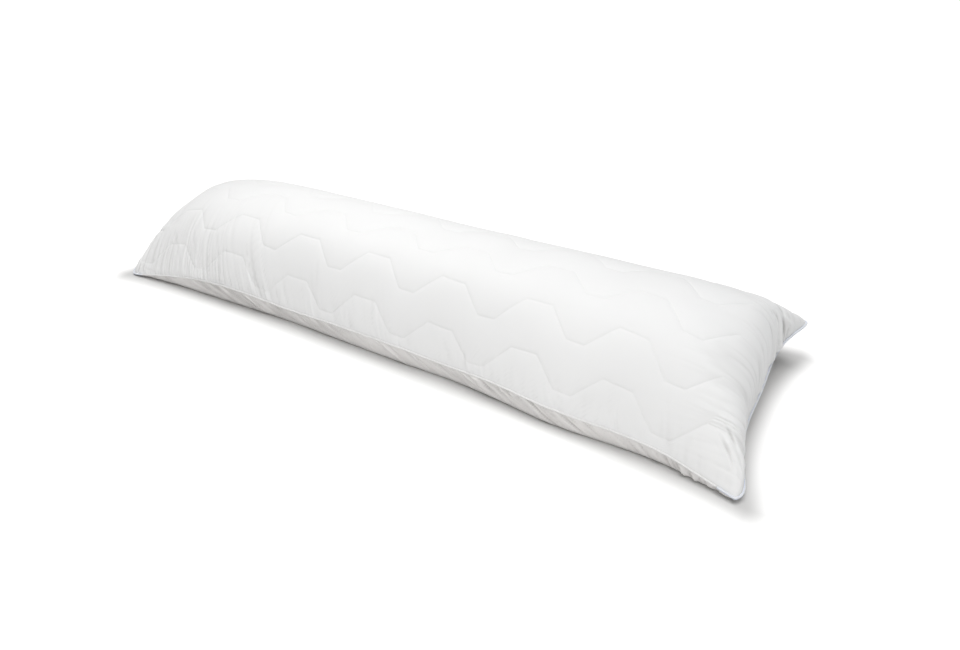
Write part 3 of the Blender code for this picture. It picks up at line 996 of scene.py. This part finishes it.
def make_floor():
    """A pale floor that glows, except beneath the pillow's plan and close beside it, where the missing glow
    paints a contact shadow.
    """
    bpy.ops.mesh.primitive_plane_add(size=FLOOR_SIZE, location=(0.0, 0.0, -FLOOR_DROP))
    floor = bpy.context.object
    floor.name = "pale_floor"
    nodes = Nodes("pale_floor")
    nodes.shader.inputs["Base Color"].default_value = FLOOR_TONE
    nodes.shader.inputs["Roughness"].default_value = 0.9
    nodes.shader.inputs["Specular IOR Level"].default_value = 0.1
    nodes.shader.inputs["Emission Color"].default_value = WHITE
    split = nodes.add("ShaderNodeSeparateXYZ")
    nodes.link(nodes.vector("ABSOLUTE", nodes.add("ShaderNodeTexCoord").outputs["Object"]), split.inputs[0])
    x, y = split.outputs[0], split.outputs[1]
    beyond = nodes.add("ShaderNodeCombineXYZ")
    draw_in = nodes.draw_in(y, HALF_WIDTH, FADE["end_draw_in"], END_DRAW_IN["right"])
    nodes.link(nodes.math("SUBTRACT", nodes.math("ADD", x, draw_in), HALF_LENGTH), beyond.inputs[0])
    draw_in = nodes.draw_in(x, HALF_LENGTH, FADE["side_draw_in"], SIDE_DRAW_IN)
    nodes.link(nodes.math("SUBTRACT", nodes.math("ADD", y, draw_in), HALF_WIDTH), beyond.inputs[1])
    away = nodes.length(nodes.vector("MAXIMUM", beyond.outputs[0], (0.0, 0.0, 0.0)))
    glow = FLOOR_GLOW_AND_PAINTED_SHADOW
    # Painted contact shadow: no glow within the pillow's plan, and a short rise outside it.
    near = nodes.rise(away, 0.0, glow["rise"], glow["near"])
    far = nodes.rise(away, glow["far_start"], glow["far_end"], glow["far"] - glow["near"])
    nodes.link(nodes.math("ADD", near, far), nodes.shader.inputs["Emission Strength"])
    floor.data.materials.append(nodes.material)


def turned_along(item, direction):
    item.rotation_mode = "QUATERNION"
    item.rotation_quaternion = Vector(direction).to_track_quat("-Z", "Y")


def add_light(name, kind, place, target, strength, **settings):
    data = bpy.data.lights.new(name, kind)
    data.energy = strength
    for key, value in settings.items():
        setattr(data, key, value)
    light = bpy.data.objects.new(name, data)
    light.location = place
    turned_along(light, np.array(target) - np.array(place))
    bpy.context.scene.collection.objects.link(light)


def light_studio():
    """Soft light from overhead, the softboxes, and a weak white world."""
    world = bpy.data.worlds.new("studio")
    bpy.context.scene.world = world
    world.use_nodes = True
    background = world.node_tree.nodes["Background"]
    background.inputs["Color"].default_value = WHITE
    background.inputs["Strength"].default_value = WORLD_STRENGTH
    angle = math.radians(OVERHEAD["angle"])
    add_light("overhead", "SUN", OVERHEAD["place"], (0.0, 0.0, 0.0), OVERHEAD["strength"], angle=angle)
    for box in SOFTBOXES:
        place, target = box["place"], box["target"]
        add_light(box["name"], "AREA", place, target, box["power"], size=box["size"], color=box["tone"])
    bpy.context.scene.view_settings.view_transform = "Standard"


def add_camera():
    azimuth, elevation = math.radians(CAMERA_AZIMUTH), math.radians(CAMERA_ELEVATION)
    back = np.array(
        [
            math.sin(azimuth) * math.cos(elevation),
            -math.cos(azimuth) * math.cos(elevation),
            math.sin(elevation),
        ]
    )
    data = bpy.data.cameras.new("camera")
    data.lens = CAMERA_LENS
    data.sensor_width = SENSOR_WIDTH
    camera = bpy.data.objects.new("camera", data)
    camera.location = np.array(CAMERA_TARGET) + back * CAMERA_DISTANCE
    turned_along(camera, -back)
    bpy.context.scene.collection.objects.link(camera)
    bpy.context.scene.camera = camera


rim_sides = make_panel("top_panel", True, cotton_material("top_cotton", *TOP_TONES))
make_panel("under_panel", False, cotton_material("under_cotton", *UNDER_TONES))
make_rim_pieces(rim_sides, edging_material(), piping_material())
make_floor()
light_studio()
add_camera()
